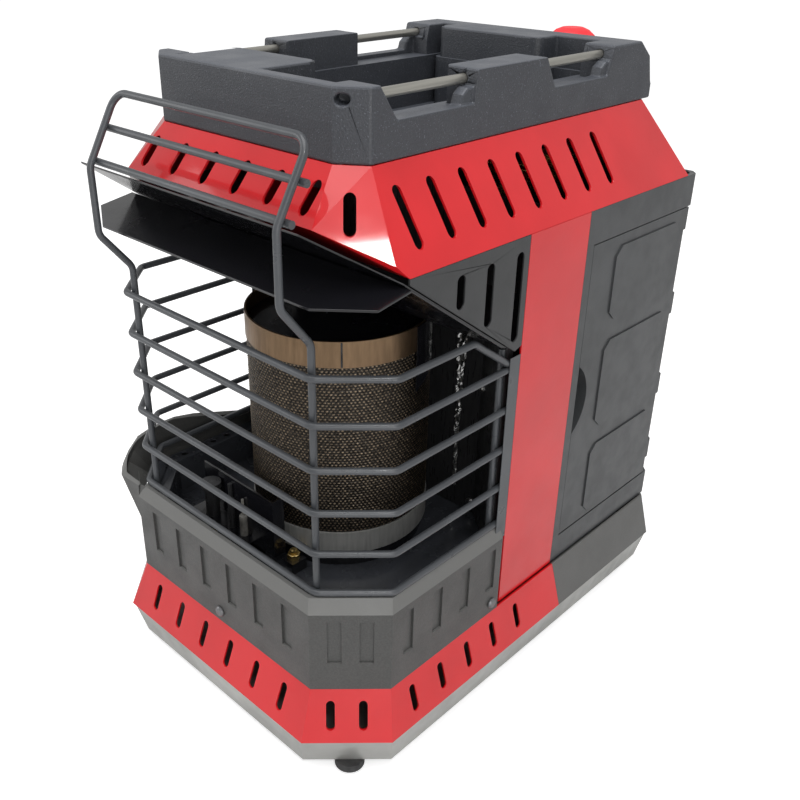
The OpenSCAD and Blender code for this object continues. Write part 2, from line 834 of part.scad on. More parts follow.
// Shelf with a pressed ring that locates the gas cylinder
module bay_floor() {
    ring_r = cylinder_r + 1;
    color(steel) translate([0, 0, bumper_z + 2]) {
        linear_extrude(sheet) intersection() {
            housing_outline(mould_wall + fit_gap);
            translate([-half_w, bay_y]) square([body_w, body_d]);
        }
        translate([0, bay_c, sheet]) difference() {
            cylinder(5, ring_r + 1.5, ring_r + 1.5, $fn = 72);
            translate([0, 0, -1]) cylinder(7, ring_r, ring_r, $fn = 72);
        }
    }
}

// ---- door ------------------------------------------------------------------

knuckle_z = [for (k = [0.06, 0.325, 0.63, 0.925]) door_z + k * door_h];
knuckle_h = 14;
knuckle_r = 3.6;

module tank_door() {
    x1 = half_w - 0.3;
    y0 = face_y + door_y;
    panel_end = hinge[1] - knuckle_r + 0.4;
    cup_z = door_z + door_h / 2;
    cup_r = 29;
    emboss = 1;
    color(charcoal)
    difference() {
        union() {
            translate([x1 - door_t, y0, door_z])
                cube([door_t, panel_end - y0, door_h]);
            // raised panels
            for (p = [[0, 0.286] * door_h, [0.335, 0.66] * door_h, [0.71, 0.966] * door_h])
                translate([x1 - 0.01, 0, door_z])
                    rotate([90, 0, 90]) linear_extrude(emboss)
                        polygon([[y0 + 26, p[0] + 10], [y0 + 32, p[0] + 4],
                            [panel_end - 14, p[0] + 4], [panel_end - 8, p[0] + 10],
                            [panel_end - 8, p[1] - 6], [panel_end - 14, p[1]],
                            [y0 + 32, p[1]], [y0 + 26, p[1] - 6]]);
            for (z = knuckle_z) {
                translate([hinge[0], hinge[1], z]) cylinder(knuckle_h, knuckle_r, knuckle_r);
                translate([hinge[0] + 0.8, panel_end - 1, z])
                    cube([x1 - hinge[0] - 0.8, knuckle_r, knuckle_h]);
            }
            // wall behind the finger cup
            translate([x1 - door_t - 6, y0 + 0.01, cup_z - cup_r - 4])
                cube([6.5, 16, 2 * cup_r + 8]);
        }
        for (z = knuckle_z)
            translate([hinge[0], hinge[1], z - 1])
                cylinder(knuckle_h + 2, pin_r + 0.08, pin_r + 0.08, $fn = 32);
        // finger cup, a shallow round bite out of the free edge
        translate([x1 - 7, y0 - 17.5, cup_z]) rotate([0, 90, 0])
            cylinder(20, cup_r + 0.5, cup_r + 0.5, $fn = 96);
    }
}

module hinge_pin() {
    z0 = housing_z[0] + 10;
    color(steel) translate([hinge[0], hinge[1], z0])
        cylinder(door_z + door_h + 7 - z0, pin_r, pin_r, $fn = 32);
}

// Spring catch that holds the door's free edge
module door_catch() {
    z = door_z + 0.73 * door_h;
    edge = half_w - mould_wall - fit_gap;
    behind = half_w - 0.3 - door_t - 0.4;
    color(black) {
        translate([edge - 8, bay_y + 0.5, z]) cube([8, door_y - 193.5, 14]);
        translate([edge - 8, bay_y + 0.5, z]) cube([behind - edge + 8, 17, 14]);
    }
}

// ---- cap -------------------------------------------------------------------

notch_y = [cap_y + 16, cap_y + 145];
notch_len = [notch_front, notch_rear];
rod_x = cap_hw - 9.5;
rod_z = cap_top - 5.5;
rod_bury = 7;
cap_back = cap_rear_y + cap_over;
well = [cap_y + cap_wall, cap_rear_y - 27];
ledge_z = cap_top - 21;
pod_x = cap_hw - 20.5;
// Blocks that stand in the basin: x from, x to, in front and at the rear
front_block = [-60, 8];
rear_block = [-52, 30];
block_y = [cap_y + 48, cap_y + 210];

// Finger notch in a side wall; its ends lean by lean[0] and lean[1]
module notch_cut(i, s) {
    lean = [[12, 2], [10, 5]][i];
    y0 = notch_y[i];
    y1 = y0 + notch_len[i];
    over = cap_top + 1;
    floor_h = cap_top - notch_h;
    translate([s > 0 ? cap_hw - 24 : -cap_hw - 1, 0, 0]) rotate([90, 0, 90])
        linear_extrude(25)
        polygon([[y0 + lean[0], floor_h], [y1 - lean[1], floor_h], [y1, over], [y0, over]]);
}

module rounded_rect(x0, y0, x1, y1, r) {
    for (x = [x0 + r, x1 - r], y = [y0 + r, y1 - r]) translate([x, y]) circle(r);
    translate([x0 + r, y0]) square([x1 - x0 - 2 * r, y1 - y0]);
    translate([x0, y0 + r]) square([x1 - x0, y1 - y0 - 2 * r]);
}

// The two blocks in plan, grown by g
module block_plan(g) {
    r = 7;
    rounded_rect(front_block[0] - g, cap_y, front_block[1] + g, block_y[0] + g, r);
    rounded_rect(rear_block[0] - g, block_y[1] - g, rear_block[1] + g, cap_rear_y, r);
}

// Opening that the basin hangs through, drawn in by g
module well_plan(g) {
    difference() {
        rounded_rect(-basin_hw + g, basin_y[0] + g, basin_hw - g, basin_y[1] - g, 6);
        block_plan(g);
    }
}

// Wider opening above the basin's ledge; it leaves pods that hold the rod ends
module ledge_plan(g) {
    hw = cap_hw - cap_wall - g;
    ends = [well[0], notch_y[0] + 3, notch_y[0] + notch_front, notch_y[1],
        notch_y[1] + notch_rear - 3, well[1]];
    difference() {
        rounded_rect(-hw, well[0] + g, hw, well[1] - g, 4);
        for (s = [-1, 1], i = [0, 2, 4])
            translate([s > 0 ? pod_x - g : -pod_x - 30 + g, ends[i] - g])
                square([30, ends[i + 1] - ends[i] + 2 * g]);
        block_plan(g);
    }
}

module cap_body() {
    intersection() {
        translate([0, 0, deck_z + fit_gap]) linear_extrude(cap_h - fit_gap)
            polygon(cut_outline(cap_hw, cap_y, cap_back, cap_cut, 3));
        // the rear wall leans back from its rim
        rotate([90, 0, 90]) linear_extrude(far, center = true)
            polygon([[cap_y, deck_z], [cap_back, deck_z], [cap_back - 7.7, cap_top - 9.3],
                [cap_back - 19.6, cap_top], [cap_y, cap_top]]);
    }
}

module top_cap() {
    color(charcoal)
    difference() {
        cap_body();
        translate([0, 0, deck_z - 1]) linear_extrude(cap_h + 10) well_plan(0);
        translate([0, 0, ledge_z]) linear_extrude(cap_h) ledge_plan(0);
        for (s = [-1, 1], i = [0, 1]) difference() {
            notch_cut(i, s);
            rod_socket(i, s);
        }
        rod_places() cylinder(notch_y[1] + notch_rear - notch_y[0] + 2 * rod_bury + 0.4,
            rod_r + 0.05, rod_r + 0.05, center = true, $fn = 32);
        // drain hole in the right corner face
        translate([cap_hw - 11, cap_y + 2.6, cap_top - 6]) rotate([90, 0, 35])
            linear_extrude(20, center = true) rotate(90) slot_2d(5, 7);
        // recess in the rear wall for the knob
        translate([knob_x, knob_y, deck_z - 1]) cylinder(cap_h + 10, knob_r + 2, knob_r + 2);
    }
}

// Gusset under the rear end of a rod
module rod_socket(i, s) {
    y1 = notch_y[i] + notch_len[i];
    z0 = cap_top - notch_h;
    translate([s > 0 ? rod_x - 8 : -rod_x - 8, 0, 0]) rotate([90, 0, 90]) linear_extrude(16)
        polygon([[y1 - 12, z0 - 1], [y1 - 10, z0 + 5], [y1 - 6, rod_z - rod_r - 0.5],
            [y1 + 1, rod_z - rod_r - 0.5], [y1 + 1, z0 - 1]]);
}

module rod_places() {
    for (s = [-1, 1])
        translate([s * rod_x, (notch_y[0] + notch_y[1] + notch_rear) / 2, rod_z])
            rotate([90, 0, 0]) children();
}

module handle_rods() {
    color(steel)
    for (s = [-1, 1], i = [0, 1])
        translate([s * rod_x, notch_y[i] - rod_bury, rod_z]) rotate([-90, 0, 0])
            cylinder(notch_len[i] + 2 * rod_bury, rod_r, rod_r, $fn = 32);
}

// Basin that hangs in the cap by a flange
module basin_tray() {
    t = 2;
    z0 = cap_top - basin_depth;
    color(charcoal)
    difference() {
        union() {
            translate([0, 0, z0]) linear_extrude(ledge_z + fit_gap + t - z0) well_plan(fit_gap);
            translate([0, 0, ledge_z + fit_gap]) linear_extrude(t) ledge_plan(fit_gap);
        }
        translate([0, 0, z0 + t]) linear_extrude(basin_depth) well_plan(fit_gap + t);
    }
}

// ---- control knob and gas train --------------------------------------------

knob_y = rear_y + knob_over - knob_r;
knob_z = cap_top - knob_h;
stem_r = 2.5;
valve_top = eave_z - 2.2;
valve_x = knob_x - 13;

module control_boss() {
    r = knob_r - 0.8;
    top = knob_z - knob_travel - 0.5;
    color(charcoal)
    difference() {
        translate([knob_x, knob_y, eave_z + 2]) cylinder(top - eave_z - 2, r, r);
        // seat on the hood's rear slope
        translate([0, fit_gap + 0.1, 0]) hood_form(-0.4, -0.5);
        translate([knob_x, knob_y, eave_z]) cylinder(100, 4.5, 4.5);
        translate([knob_x, knob_y, knob_z - knob_travel - 12]) cylinder(100, 7.4, 7.4);
    }
}

module push_collar() {
    color(steel) translate([knob_x, knob_y, knob_z - knob_travel - 5]) difference() {
        cylinder(3, 6.8, 6.8);
        translate([0, 0, -1]) cylinder(6, stem_r + 0.08, stem_r + 0.08, $fn = 32);
    }
}

module valve_stem() {
    color(steel) translate([knob_x, knob_y, valve_top - 1])
        cylinder(knob_z + 12 - valve_top + 1, stem_r, stem_r, $fn = 32);
}

module control_knob() {
    color(red) translate([knob_x, knob_y, knob_z]) difference() {
        rotate_extrude($fn = 72) polygon([[0, 0], [knob_r, 0], [knob_r, knob_h * 0.5],
            [knob_r - 1, knob_h * 0.66], [knob_r - 3.2, knob_h * 0.82],
            [knob_r - 7, knob_h * 0.94], [knob_r - 11, knob_h], [0, knob_h]]);
        for (a = [0:30:330]) rotate([0, 0, a]) translate([knob_r + 1.4, 0, -1])
            cylinder(knob_h * 0.6, 2.2, 2.2, $fn = 24);
        translate([0, 0, -1]) cylinder(13.3, stem_r + 0.06, stem_r + 0.06, $fn = 32);
    }
}

module gas_valve() {
    color(brass) difference() {
        translate([valve_x, knob_y - 16, valve_top - 30]) cube([26, 19.25, 30]);
        translate([knob_x, knob_y, valve_top - 6.5])
            cylinder(10, stem_r + 0.08, stem_r + 0.08, $fn = 32);
    }
}

reg_z = eave_z - 44;

module regulator() {
    color(brass) translate([0, bay_c, reg_z]) difference() {
        union() {
            cylinder(16, 17, 17, $fn = 6);
            translate([0, 0, 16]) cylinder(16, 22, 22);
            translate([0, 0, 32]) cylinder(5, 14, 9);
        }
        translate([0, 0, -1]) cylinder(thread_depth + 1, thread_r, thread_r, $fn = 64);
        translate([0, 0, thread_depth - 1]) cylinder(6, 3, 3, $fn = 24);
    }
}

module inlet_tube() {
    y0 = bay_c + 22;
    color(brass) translate([knob_x - 7, y0, reg_z + 24]) rotate([-90, 0, 0])
        cylinder(knob_y - 16 - fit_gap - y0, 2.4, 2.4, $fn = 24);
}

main_x = -80;
pilot_x = -46;
pilot_y = burner_c - burner_r - 14;

module burner_tube() {
    y = knob_y - 4;
    z = valve_top - 18;
    color(brass)
    wire_run([[valve_x - fit_gap, y, z], [main_x, y, z], [main_x, y, mixer_z],
        [main_x, wall_y - 10, mixer_z], [0, wall_y - 10, mixer_z],
        [0, jet_y + 16 + fit_gap, mixer_z]], 8, 2.4);
}

module pilot_tube() {
    z = mixer_z + 5;
    x = main_x - 8;
    y = knob_y - 12;
    color(brass)
    wire_run([[pilot_x, pilot_y, floor_z + 9.8], [pilot_x, pilot_y, z],
        [pilot_x, wall_y + 9, z], [x, wall_y + 9, z], [x, y, z],
        [x, y, valve_top - 12], [valve_x - fit_gap, y, valve_top - 12]], 6, 1.6);
}

// Angle plate in front of the burner; pilot, thermocouple and electrode pass its shelf
pilot_shelf = floor_z + 14;
pilot_parts = [[pilot_x, 4.5], [pilot_x + 20, 2.2], [pilot_x + 32, 2.6]];

module pilot_bracket() {
    x0 = pilot_x - 16;
    back = pilot_y + 7;
    color(black) difference() {
        union() {
            translate([x0, back, floor_z + sheet + fit_gap]) cube([58, sheet, 44]);
            translate([x0, back - 14, pilot_shelf]) cube([58, 14.5, sheet]);
        }
        for (p = pilot_parts)
            translate([p[0], pilot_y, pilot_shelf - 1])
                cylinder(4, p[1] + 0.1, p[1] + 0.1, $fn = 32);
    }
}

module pilot_burner() {
    color(steel) translate([pilot_parts[0][0], pilot_y, floor_z + 10]) {
        cylinder(26, pilot_parts[0][1], pilot_parts[0][1]);
        translate([0, 0, 26]) cylinder(4, 6.5, 6.5);
    }
}

module thermocouple() {
    r = pilot_parts[1][1];
    color(steel) translate([pilot_parts[1][0], pilot_y, floor_z + sheet + fit_gap]) {
        cylinder(36, r, r, $fn = 24);
        translate([0, 0, 36]) cylinder(10, 1.4, 1.4, $fn = 24);
    }
}

module igniter_electrode() {
    r = pilot_parts[2][1];
    color("white") translate([pilot_parts[2][0], pilot_y, floor_z + sheet + fit_gap]) {
        cylinder(28, r, r, $fn = 24);
        translate([0, 0, 28]) cylinder(12, 0.9, 0.9, $fn = 24);
    }
}

module tip_switch() {
    color(black) translate([-half_w + 12, band_y[0] + 14, pan_z + sheet + 0.2])
        cube([26, 30, 30]);
}

module housing_screws() {
    color(steel) housing_screw_places() pan_head_screw(3.5, 1);
}

feet();
base_pan();
lower_skirt();
rear_skirt();
front_bumper();
bumper_screws();
burner_floor();
burner_pedestal();
foot_band();
burner_mesh();
top_band();
burner_core();
mixer_tube();
gas_jet();
jet_bracket();
rear_reflector();
guard_hoop_1();
guard_hoop_2();
guard_hoop_3();
guard_hoop_4();
guard_hoop_5();
guard_hoop_6();
guard_uprights();
guard_top_wires();
guard_rear_posts();
visor();
ceiling_plate();
hood();
wedge_panel_right();
wedge_panel_left();
side_band_right();
side_band_left();
rear_housing();
bay_wall();
bay_floor();
tank_door();
hinge_pin();
door_catch();
top_cap();
basin_tray();
handle_rods();
control_knob();
valve_stem();
push_collar();
control_boss();
gas_valve();
regulator();
inlet_tube();
burner_tube();
pilot_tube();
pilot_bracket();
pilot_burner();
thermocouple();
igniter_electrode();
tip_switch();
housing_screws();
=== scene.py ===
"""Portable propane heater: materials, small parts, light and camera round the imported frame."""

import json
import math

import bmesh
import bpy
from mathutils import Matrix, Vector, noise


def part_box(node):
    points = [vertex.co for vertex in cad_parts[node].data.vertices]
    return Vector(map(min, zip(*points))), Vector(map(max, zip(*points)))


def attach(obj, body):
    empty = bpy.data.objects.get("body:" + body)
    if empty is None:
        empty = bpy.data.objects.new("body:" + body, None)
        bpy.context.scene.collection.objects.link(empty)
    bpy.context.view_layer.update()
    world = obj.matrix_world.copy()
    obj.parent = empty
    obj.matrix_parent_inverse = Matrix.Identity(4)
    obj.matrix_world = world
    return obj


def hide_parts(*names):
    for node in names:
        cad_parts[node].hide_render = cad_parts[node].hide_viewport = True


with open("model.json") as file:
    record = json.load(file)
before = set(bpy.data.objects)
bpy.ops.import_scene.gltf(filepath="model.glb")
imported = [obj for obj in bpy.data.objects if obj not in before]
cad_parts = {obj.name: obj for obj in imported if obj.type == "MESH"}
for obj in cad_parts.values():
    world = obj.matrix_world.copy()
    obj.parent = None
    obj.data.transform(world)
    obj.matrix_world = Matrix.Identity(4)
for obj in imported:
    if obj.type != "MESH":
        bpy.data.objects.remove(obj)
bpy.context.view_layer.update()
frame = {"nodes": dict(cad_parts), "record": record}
nodes = frame["nodes"]
scene = bpy.context.scene

MM = 0.001
IMAGE_PX = 800


# ---- camera ----------------------------------------------------------------

CAMERA_PLACE = Vector((0.3776, -0.4173, 0.4564))
CAMERA_AZIMUTH = math.radians(43.87)
CAMERA_ELEVATION = math.radians(27.53)
CAMERA_ROLL = math.radians(0.58)
FOCAL_PX = 933.5
CENTRE_PX = (372.6, 390.6)
SENSOR_MM = 36.0


def add_camera():
    data = bpy.data.cameras.new("camera")
    data.sensor_width = SENSOR_MM
    data.lens = FOCAL_PX / IMAGE_PX * SENSOR_MM
    data.shift_x = (IMAGE_PX / 2 - CENTRE_PX[0]) / IMAGE_PX
    data.shift_y = (CENTRE_PX[1] - IMAGE_PX / 2) / IMAGE_PX
    data.clip_start = 0.01
    camera = bpy.data.objects.new("camera", data)
    scene.collection.objects.link(camera)
    sin_a, cos_a = math.sin(CAMERA_AZIMUTH), math.cos(CAMERA_AZIMUTH)
    sin_e, cos_e = math.sin(CAMERA_ELEVATION), math.cos(CAMERA_ELEVATION)
    back = Vector((sin_a * cos_e, -cos_a * cos_e, sin_e))
    right = Vector((0, 0, 1)).cross(back).normalized()
    up = back.cross(right)
    rolled_right = right * math.cos(CAMERA_ROLL) + up * math.sin(CAMERA_ROLL)
    rolled_up = -right * math.sin(CAMERA_ROLL) + up * math.cos(CAMERA_ROLL)
    matrix = Matrix((rolled_right, rolled_up, back)).transposed().to_4x4()
    matrix.translation = CAMERA_PLACE
    camera.matrix_world = matrix
    scene.camera = camera


# ---- material building blocks ----------------------------------------------

class Shader:
    """A Principled material with a few procedural helpers; lengths are in metres."""

    def __init__(self, name, colour, roughness, metallic=0.0, coat=0.0, specular=0.5):
        self.material = bpy.data.materials.new(name)
        self.material.use_nodes = True
        self.tree = self.material.node_tree
        self.bsdf = self.tree.nodes["Principled BSDF"]
        self.bsdf.inputs["Base Color"].default_value = (*colour, 1.0)
        self.bsdf.inputs["Roughness"].default_value = roughness
        self.bsdf.inputs["Metallic"].default_value = metallic
        self.bsdf.inputs["Coat Weight"].default_value = coat
        self.bsdf.inputs["Coat Roughness"].default_value = 0.08
        self.bsdf.inputs["Specular IOR Level"].default_value = specular
        self.coords = self.node("ShaderNodeTexCoord").outputs["Object"]
        self.bumps = None

    def node(self, kind, **values):
        made = self.tree.nodes.new(kind)
        for key, value in values.items():
            setattr(made, key, value)
        return made

    def link(self, source, target):
        self.tree.links.new(source, target)

    def stretched(self, stretch):
        mapping = self.node("ShaderNodeMapping")
        mapping.inputs["Scale"].default_value = stretch
        self.link(self.coords, mapping.inputs["Vector"])
        return mapping.outputs["Vector"]

    def noise(self, size, detail=3.0, stretch=(1, 1, 1)):
        """Noise whose features are about size across."""
        made = self.node("ShaderNodeTexNoise")
        made.inputs["Scale"].default_value = 1.0 / size
        made.inputs["Detail"].default_value = detail
        self.link(self.stretched(stretch), made.inputs["Vector"])
        return made.outputs["Fac"]

    def grains(self, size, smooth=0.3):
        """Distance field of small cells, for moulded leather grain."""
        made = self.node("ShaderNodeTexVoronoi", feature="SMOOTH_F1")
        made.inputs["Scale"].default_value = 1.0 / size
        made.inputs["Smoothness"].default_value = smooth
        self.link(self.coords, made.inputs["Vector"])
        return made.outputs["Distance"]

    def spread(self, value, low, high, start=0.35, end=0.65):
        """Maps a noise value from start..end to low..high."""
        made = self.node("ShaderNodeMapRange")
        made.inputs["From Min"].default_value = start
        made.inputs["From Max"].default_value = end
        made.inputs["To Min"].default_value = low
        made.inputs["To Max"].default_value = high
        self.link(value, made.inputs["Value"])
        return made.outputs["Result"]

    def facing_up(self, low, high):
        """0 on walls to 1 on faces that look upwards."""
        normal = self.node("ShaderNodeNewGeometry").outputs["Normal"]
        split = self.node("ShaderNodeSeparateXYZ")
        self.link(normal, split.inputs["Vector"])
        return self.spread(split.outputs["Z"], 0, 1, low, high)

    def mixed(self, factor, dark, light):
        made = self.node("ShaderNodeMix", data_type="RGBA")
        made.inputs["A"].default_value = (*dark, 1.0)
        made.inputs["B"].default_value = (*light, 1.0)
        self.link(factor, made.inputs["Factor"])
        return made.outputs["Result"]

    def overlaid(self, base, factor, colour):
        """The colour laid over a base colour as far as the factor says."""
        made = self.node("ShaderNodeMix", data_type="RGBA")
        made.inputs["B"].default_value = (*colour, 1.0)
        self.link(base, made.inputs["A"])
        self.link(factor, made.inputs["Factor"])
        return made.outputs["Result"]

    def paint(self, factor, dark, light):
        self.link(self.mixed(factor, dark, light), self.bsdf.inputs["Base Color"])

    def rough(self, factor):
        self.link(factor, self.bsdf.inputs["Roughness"])

    def bump(self, height, depth):
        """Adds a bump of about that depth; several calls stack."""
        made = self.node("ShaderNodeBump")
        made.inputs["Distance"].default_value = depth
        made.inputs["Strength"].default_value = 1.0
        self.link(height, made.inputs["Height"])
        if self.bumps:
            self.link(self.bumps, made.inputs["Normal"])
        self.bumps = made.outputs["Normal"]
        self.link(self.bumps, self.bsdf.inputs["Normal"])


def scaled(colour, factor):
    """The colour with its brightness times the factor, held to white at most."""
    return tuple(min(1.0, factor * c) for c in colour)


# ---- materials ---------------------------------------------------------------

def red_paint():
    """Glossy powder coat with a slight orange peel."""
    s = Shader("red_paint", (0.62, 0.008, 0.012), 0.32, coat=0.7, specular=0.3)
    s.bsdf.inputs["Coat Roughness"].default_value = 0.05
    s.paint(s.spread(s.noise(60 * MM), 0, 1), (0.58, 0.007, 0.011), (0.67, 0.010, 0.015))
    s.rough(s.spread(s.noise(25 * MM, 5), 0.28, 0.40))
    s.bump(s.noise(2.2 * MM, 2), 0.03 * MM)
    return s.material


def moulded_plastic(name, colour, grain=0.9 * MM, depth=0.12 * MM, top_light_gain=2.0, level=0.75,
                    glints=0.0):
    """Moulded plastic with a leather grain, its tops painted paler as painted light from above,
    with a few painted glints.

    Faces count as tops where the upward part of their normal passes 0.15, fully at level.
    """
    s = Shader(name, colour, 0.42, specular=0.6)
    mottled = s.mixed(s.spread(s.noise(1.1 * MM, 4), 0, 1), colour, scaled(colour, 1.3))
    # Painted light: faces that look upwards are painted paler, as if lit from above.
    painted_top_light = s.overlaid(mottled, s.facing_up(0.15, level), scaled(colour, top_light_gain))
    # Painted highlights: small bright specks, three and a half times the colour.
    painted_glints = s.spread(s.noise(0.7 * MM, 0), 0, glints, 0.74, 0.79)
    s.link(s.overlaid(painted_top_light, painted_glints, scaled(colour, 3.5)), s.bsdf.inputs["Base Color"])
    s.rough(s.spread(s.noise(18 * MM, 4), 0.36, 0.52))
    s.bump(s.grains(grain), depth)
    s.bump(s.noise(0.5 * MM, 2), depth * 0.5)
    return s.material


def dark_paint(name, colour, roughness=0.36):
    """Satin powder coat with a fine tooth."""
    s = Shader(name, colour, roughness, coat=0.15)
    s.paint(s.spread(s.noise(45 * MM, 4), 0, 1), colour, scaled(colour, 1.3))
    s.rough(s.spread(s.noise(12 * MM, 4), roughness - 0.05, roughness + 0.08))
    s.bump(s.noise(0.9 * MM, 3), 0.05 * MM)
    return s.material


def black_enamel():
    s = Shader("black_enamel", (0.007, 0.007, 0.009), 0.18, coat=0.4, specular=0.4)
    s.rough(s.spread(s.noise(30 * MM, 4), 0.14, 0.30))
    s.bump(s.noise(6 * MM, 2), 0.08 * MM)
    return s.material


def pan_metal():
    """Pale coated steel with rubbed patches."""
    s = Shader("pale_pan", (0.42, 0.42, 0.40), 0.34, metallic=0.55)
    s.paint(s.spread(s.noise(50 * MM, 5), 0, 1), (0.36, 0.36, 0.345), (0.50, 0.50, 0.48))
    s.rough(s.spread(s.noise(9 * MM, 5), 0.28, 0.44))
    s.bump(s.noise(1.5 * MM, 3), 0.03 * MM)
    return s.material


def brushed(name, colour, stretch, roughness=0.26):
    """Brushed metal; stretch squeezes the noise across the brushing."""
    s = Shader(name, colour, roughness, metallic=1.0)
    s.paint(s.spread(s.noise(0.6 * MM, 3, stretch), 0, 1), scaled(colour, 0.78), colour)
    s.rough(s.spread(s.noise(3 * MM, 3, stretch), roughness - 0.08, roughness + 0.12))
    s.bump(s.noise(0.5 * MM, 2, stretch), 0.03 * MM)
    return s.material


def satin_metal(name, colour, roughness=0.42, metallic=0.6, stretch=(3, 3, 0.4)):
    """Heat-dulled metal with fine rolling marks, upright unless stretched otherwise."""
    s = Shader(name, colour, roughness, metallic=metallic)
    s.paint(s.spread(s.noise(7 * MM, 4, stretch), 0, 1), colour, scaled(colour, 1.25))
    s.rough(s.spread(s.noise(5 * MM, 4, stretch), roughness - 0.06, roughness + 0.1))
    s.bump(s.noise(2.5 * MM, 2, stretch), 0.02 * MM)
    return s.material


def rubber():
    s = Shader("rubber", (0.035, 0.035, 0.036), 0.75)
    s.paint(s.spread(s.noise(4 * MM, 4), 0, 1), (0.028, 0.028, 0.029), (0.05, 0.05, 0.05))
    s.bump(s.noise(0.7 * MM, 3), 0.08 * MM)
    return s.material


def ceramic():
    s = Shader("ceramic", (0.17, 0.165, 0.15), 0.3, coat=0.4)
    s.paint(s.spread(s.noise(5 * MM, 3), 0, 1), (0.11, 0.105, 0.095), (0.26, 0.25, 0.23))
    s.bump(s.noise(1.0 * MM, 2), 0.03 * MM)
    return s.material


def woven_wire(name, dark, light):
    """Oxidised wire cloth in tones between dark and light; one copy serves the gaps, and a paler
    copy on the crowns of the loops is a painted highlight.
    """
    s = Shader(name, dark, 0.36, metallic=0.9)
    s.paint(s.spread(s.noise(1.6 * MM, 2), 0, 1), dark, light)
    s.rough(s.spread(s.noise(0.8 * MM, 2), 0.25, 0.45))
    s.bump(s.noise(0.4 * MM, 2), 0.05 * MM)
    return s.material


def make_materials():
    grey = (0.036, 0.039, 0.046)
    return {
        "rubber": rubber(),
        "pale_pan": pan_metal(),
        "red_paint": red_paint(),
        # All moulded plastics get tops painted paler as painted light; grey_plastic also gets
        # painted glints.
        "red_plastic": moulded_plastic("red_plastic", (0.55, 0.012, 0.018), 0.6 * MM, 0.04 * MM),
        "grey_plastic": moulded_plastic("grey_plastic", grey, top_light_gain=2.4, glints=0.8),
        "bumper_grey": moulded_plastic("bumper_grey", (0.052, 0.052, 0.050), 0.7 * MM,
                                       0.05 * MM, top_light_gain=2.8, level=0.42),
        "grey_paint": dark_paint("grey_paint", (0.038, 0.040, 0.042)),
        "floor_paint": dark_paint("floor_paint", (0.045, 0.048, 0.056), 0.22),
        "wedge_paint": dark_paint("wedge_paint", (0.026, 0.027, 0.028), 0.34),
        "wire": dark_paint("wire", (0.055, 0.059, 0.065), 0.32),
        "black_enamel": black_enamel(),
        "steel": brushed("steel", (0.60, 0.60, 0.59), (1, 1, 14)),
        "dull_steel": satin_metal("dull_steel", (0.40, 0.40, 0.385)),
        "rod_steel": satin_metal("rod_steel", (0.36, 0.35, 0.315), 0.34, 0.8, (4, 0.1, 4)),
        "zinc": satin_metal("zinc", (0.16, 0.16, 0.165), 0.3),
        "hot_steel": satin_metal("hot_steel", (0.055, 0.055, 0.058), 0.32),
        "bronze": satin_metal("bronze", (0.215, 0.142, 0.084), 0.34, 0.95),
        "mesh": woven_wire("mesh", (0.020, 0.018, 0.016), (0.055, 0.048, 0.041)),
        # The paler copy for the crowns of the loops is a painted highlight.
        "mesh_crown_highlight": woven_wire("mesh_crown_highlight", (0.06, 0.048, 0.036), (0.34, 0.26, 0.175)),
        "brass": brushed("brass", (0.62, 0.45, 0.18), (1, 1, 8)),
        "black_plastic": moulded_plastic("black_plastic", (0.02, 0.02, 0.021)),
        "ceramic": ceramic(),
    }


# ---- finish and edges of the CAD nodes ------------------------------------------

# Nodes whose finish differs from that of their slot
FINISHES = {"front_bumper": "bumper_grey", "burner_floor": "floor_paint",
            "wedge_panel_right": "wedge_paint", "wedge_panel_left": "wedge_paint",
            "foot_band": "dull_steel", "rear_reflector": "hot_steel",
            "rear_skirt": "bumper_grey", "handle_rods": "rod_steel",
            "pilot_burner": "hot_steel", "thermocouple": "hot_steel",
            "bay_wall": "hot_steel", "bay_floor": "grey_paint", "mixer_tube": "zinc",
            "bumper_screws": "zinc", "housing_screws": "zinc"}
# Radius that each slot's edges are rounded to, and nodes that differ from their slot
SLOT_EDGES = {"grey_plastic": 0.9 * MM, "grey_paint": 0.3 * MM, "red_paint": 0.3 * MM,
              "black_enamel": 0.3 * MM, "pale_pan": 0.35 * MM, "steel": 0.25 * MM,
              "red_plastic": 0.8 * MM, "brass": 0.3 * MM, "black_plastic": 0.5 * MM}
EDGE_WIDTHS = {"top_cap": 1.15 * MM, "rear_housing": 0.8 * MM, "tank_door": 0.7 * MM,
               "front_bumper": 0.7 * MM}
# Nodes whose edges keep the full width, even where short edges would narrow it
OPEN_BEVELS = ("top_cap",)
# Edges sharper than this are rounded; the open bevels leave blunter ones alone
EDGE_LIMIT = math.radians(25)
OPEN_EDGE_LIMIT = math.radians(50)


def round_edges(obj, width):
    """Welds the node's loose corners, rounds its sharp edges and keeps its flat faces flat."""
    is_open = obj.name in OPEN_BEVELS
    weld = obj.modifiers.new("weld", "WELD")
    weld.merge_threshold = 0.005 * MM
    bevel = obj.modifiers.new("bevel", "BEVEL")
    bevel.width = width
    bevel.segments = 2
    bevel.use_clamp_overlap = not is_open
    bevel.limit_method = "ANGLE"
    bevel.angle_limit = OPEN_EDGE_LIMIT if is_open else EDGE_LIMIT
    bevel.harden_normals = True
    weighted = obj.modifiers.new("weighted", "WEIGHTED_NORMAL")
    weighted.mode = "FACE_AREA"
    weighted.weight = 100
    weighted.keep_sharp = True


def dress_nodes(materials):
    """Every CAD node takes the material of its slot or its own finish, and rounded edges."""
    for part in frame["record"]["subparts"]:
        name, slot = part["node"], part["material_slot"]
        obj = nodes[name]
        obj.data.materials.clear()
        obj.data.materials.append(materials[FINISHES.get(name, slot)])
        width = EDGE_WIDTHS.get(name, SLOT_EDGES.get(slot))
        if width:
            round_edges(obj, width)


# ---- stage -----------------------------------------------------------------

FLOOR_REACH = 6.0
FLOOR_GREY = 0.82
# Light that the floor adds for the camera alone, so that it looks white
FLOOR_GLOW = 0.6
# Strength of the white surroundings as light, and as the camera sees them
WORLD_LIGHT = 0.55
WORLD_SEEN = 1.0


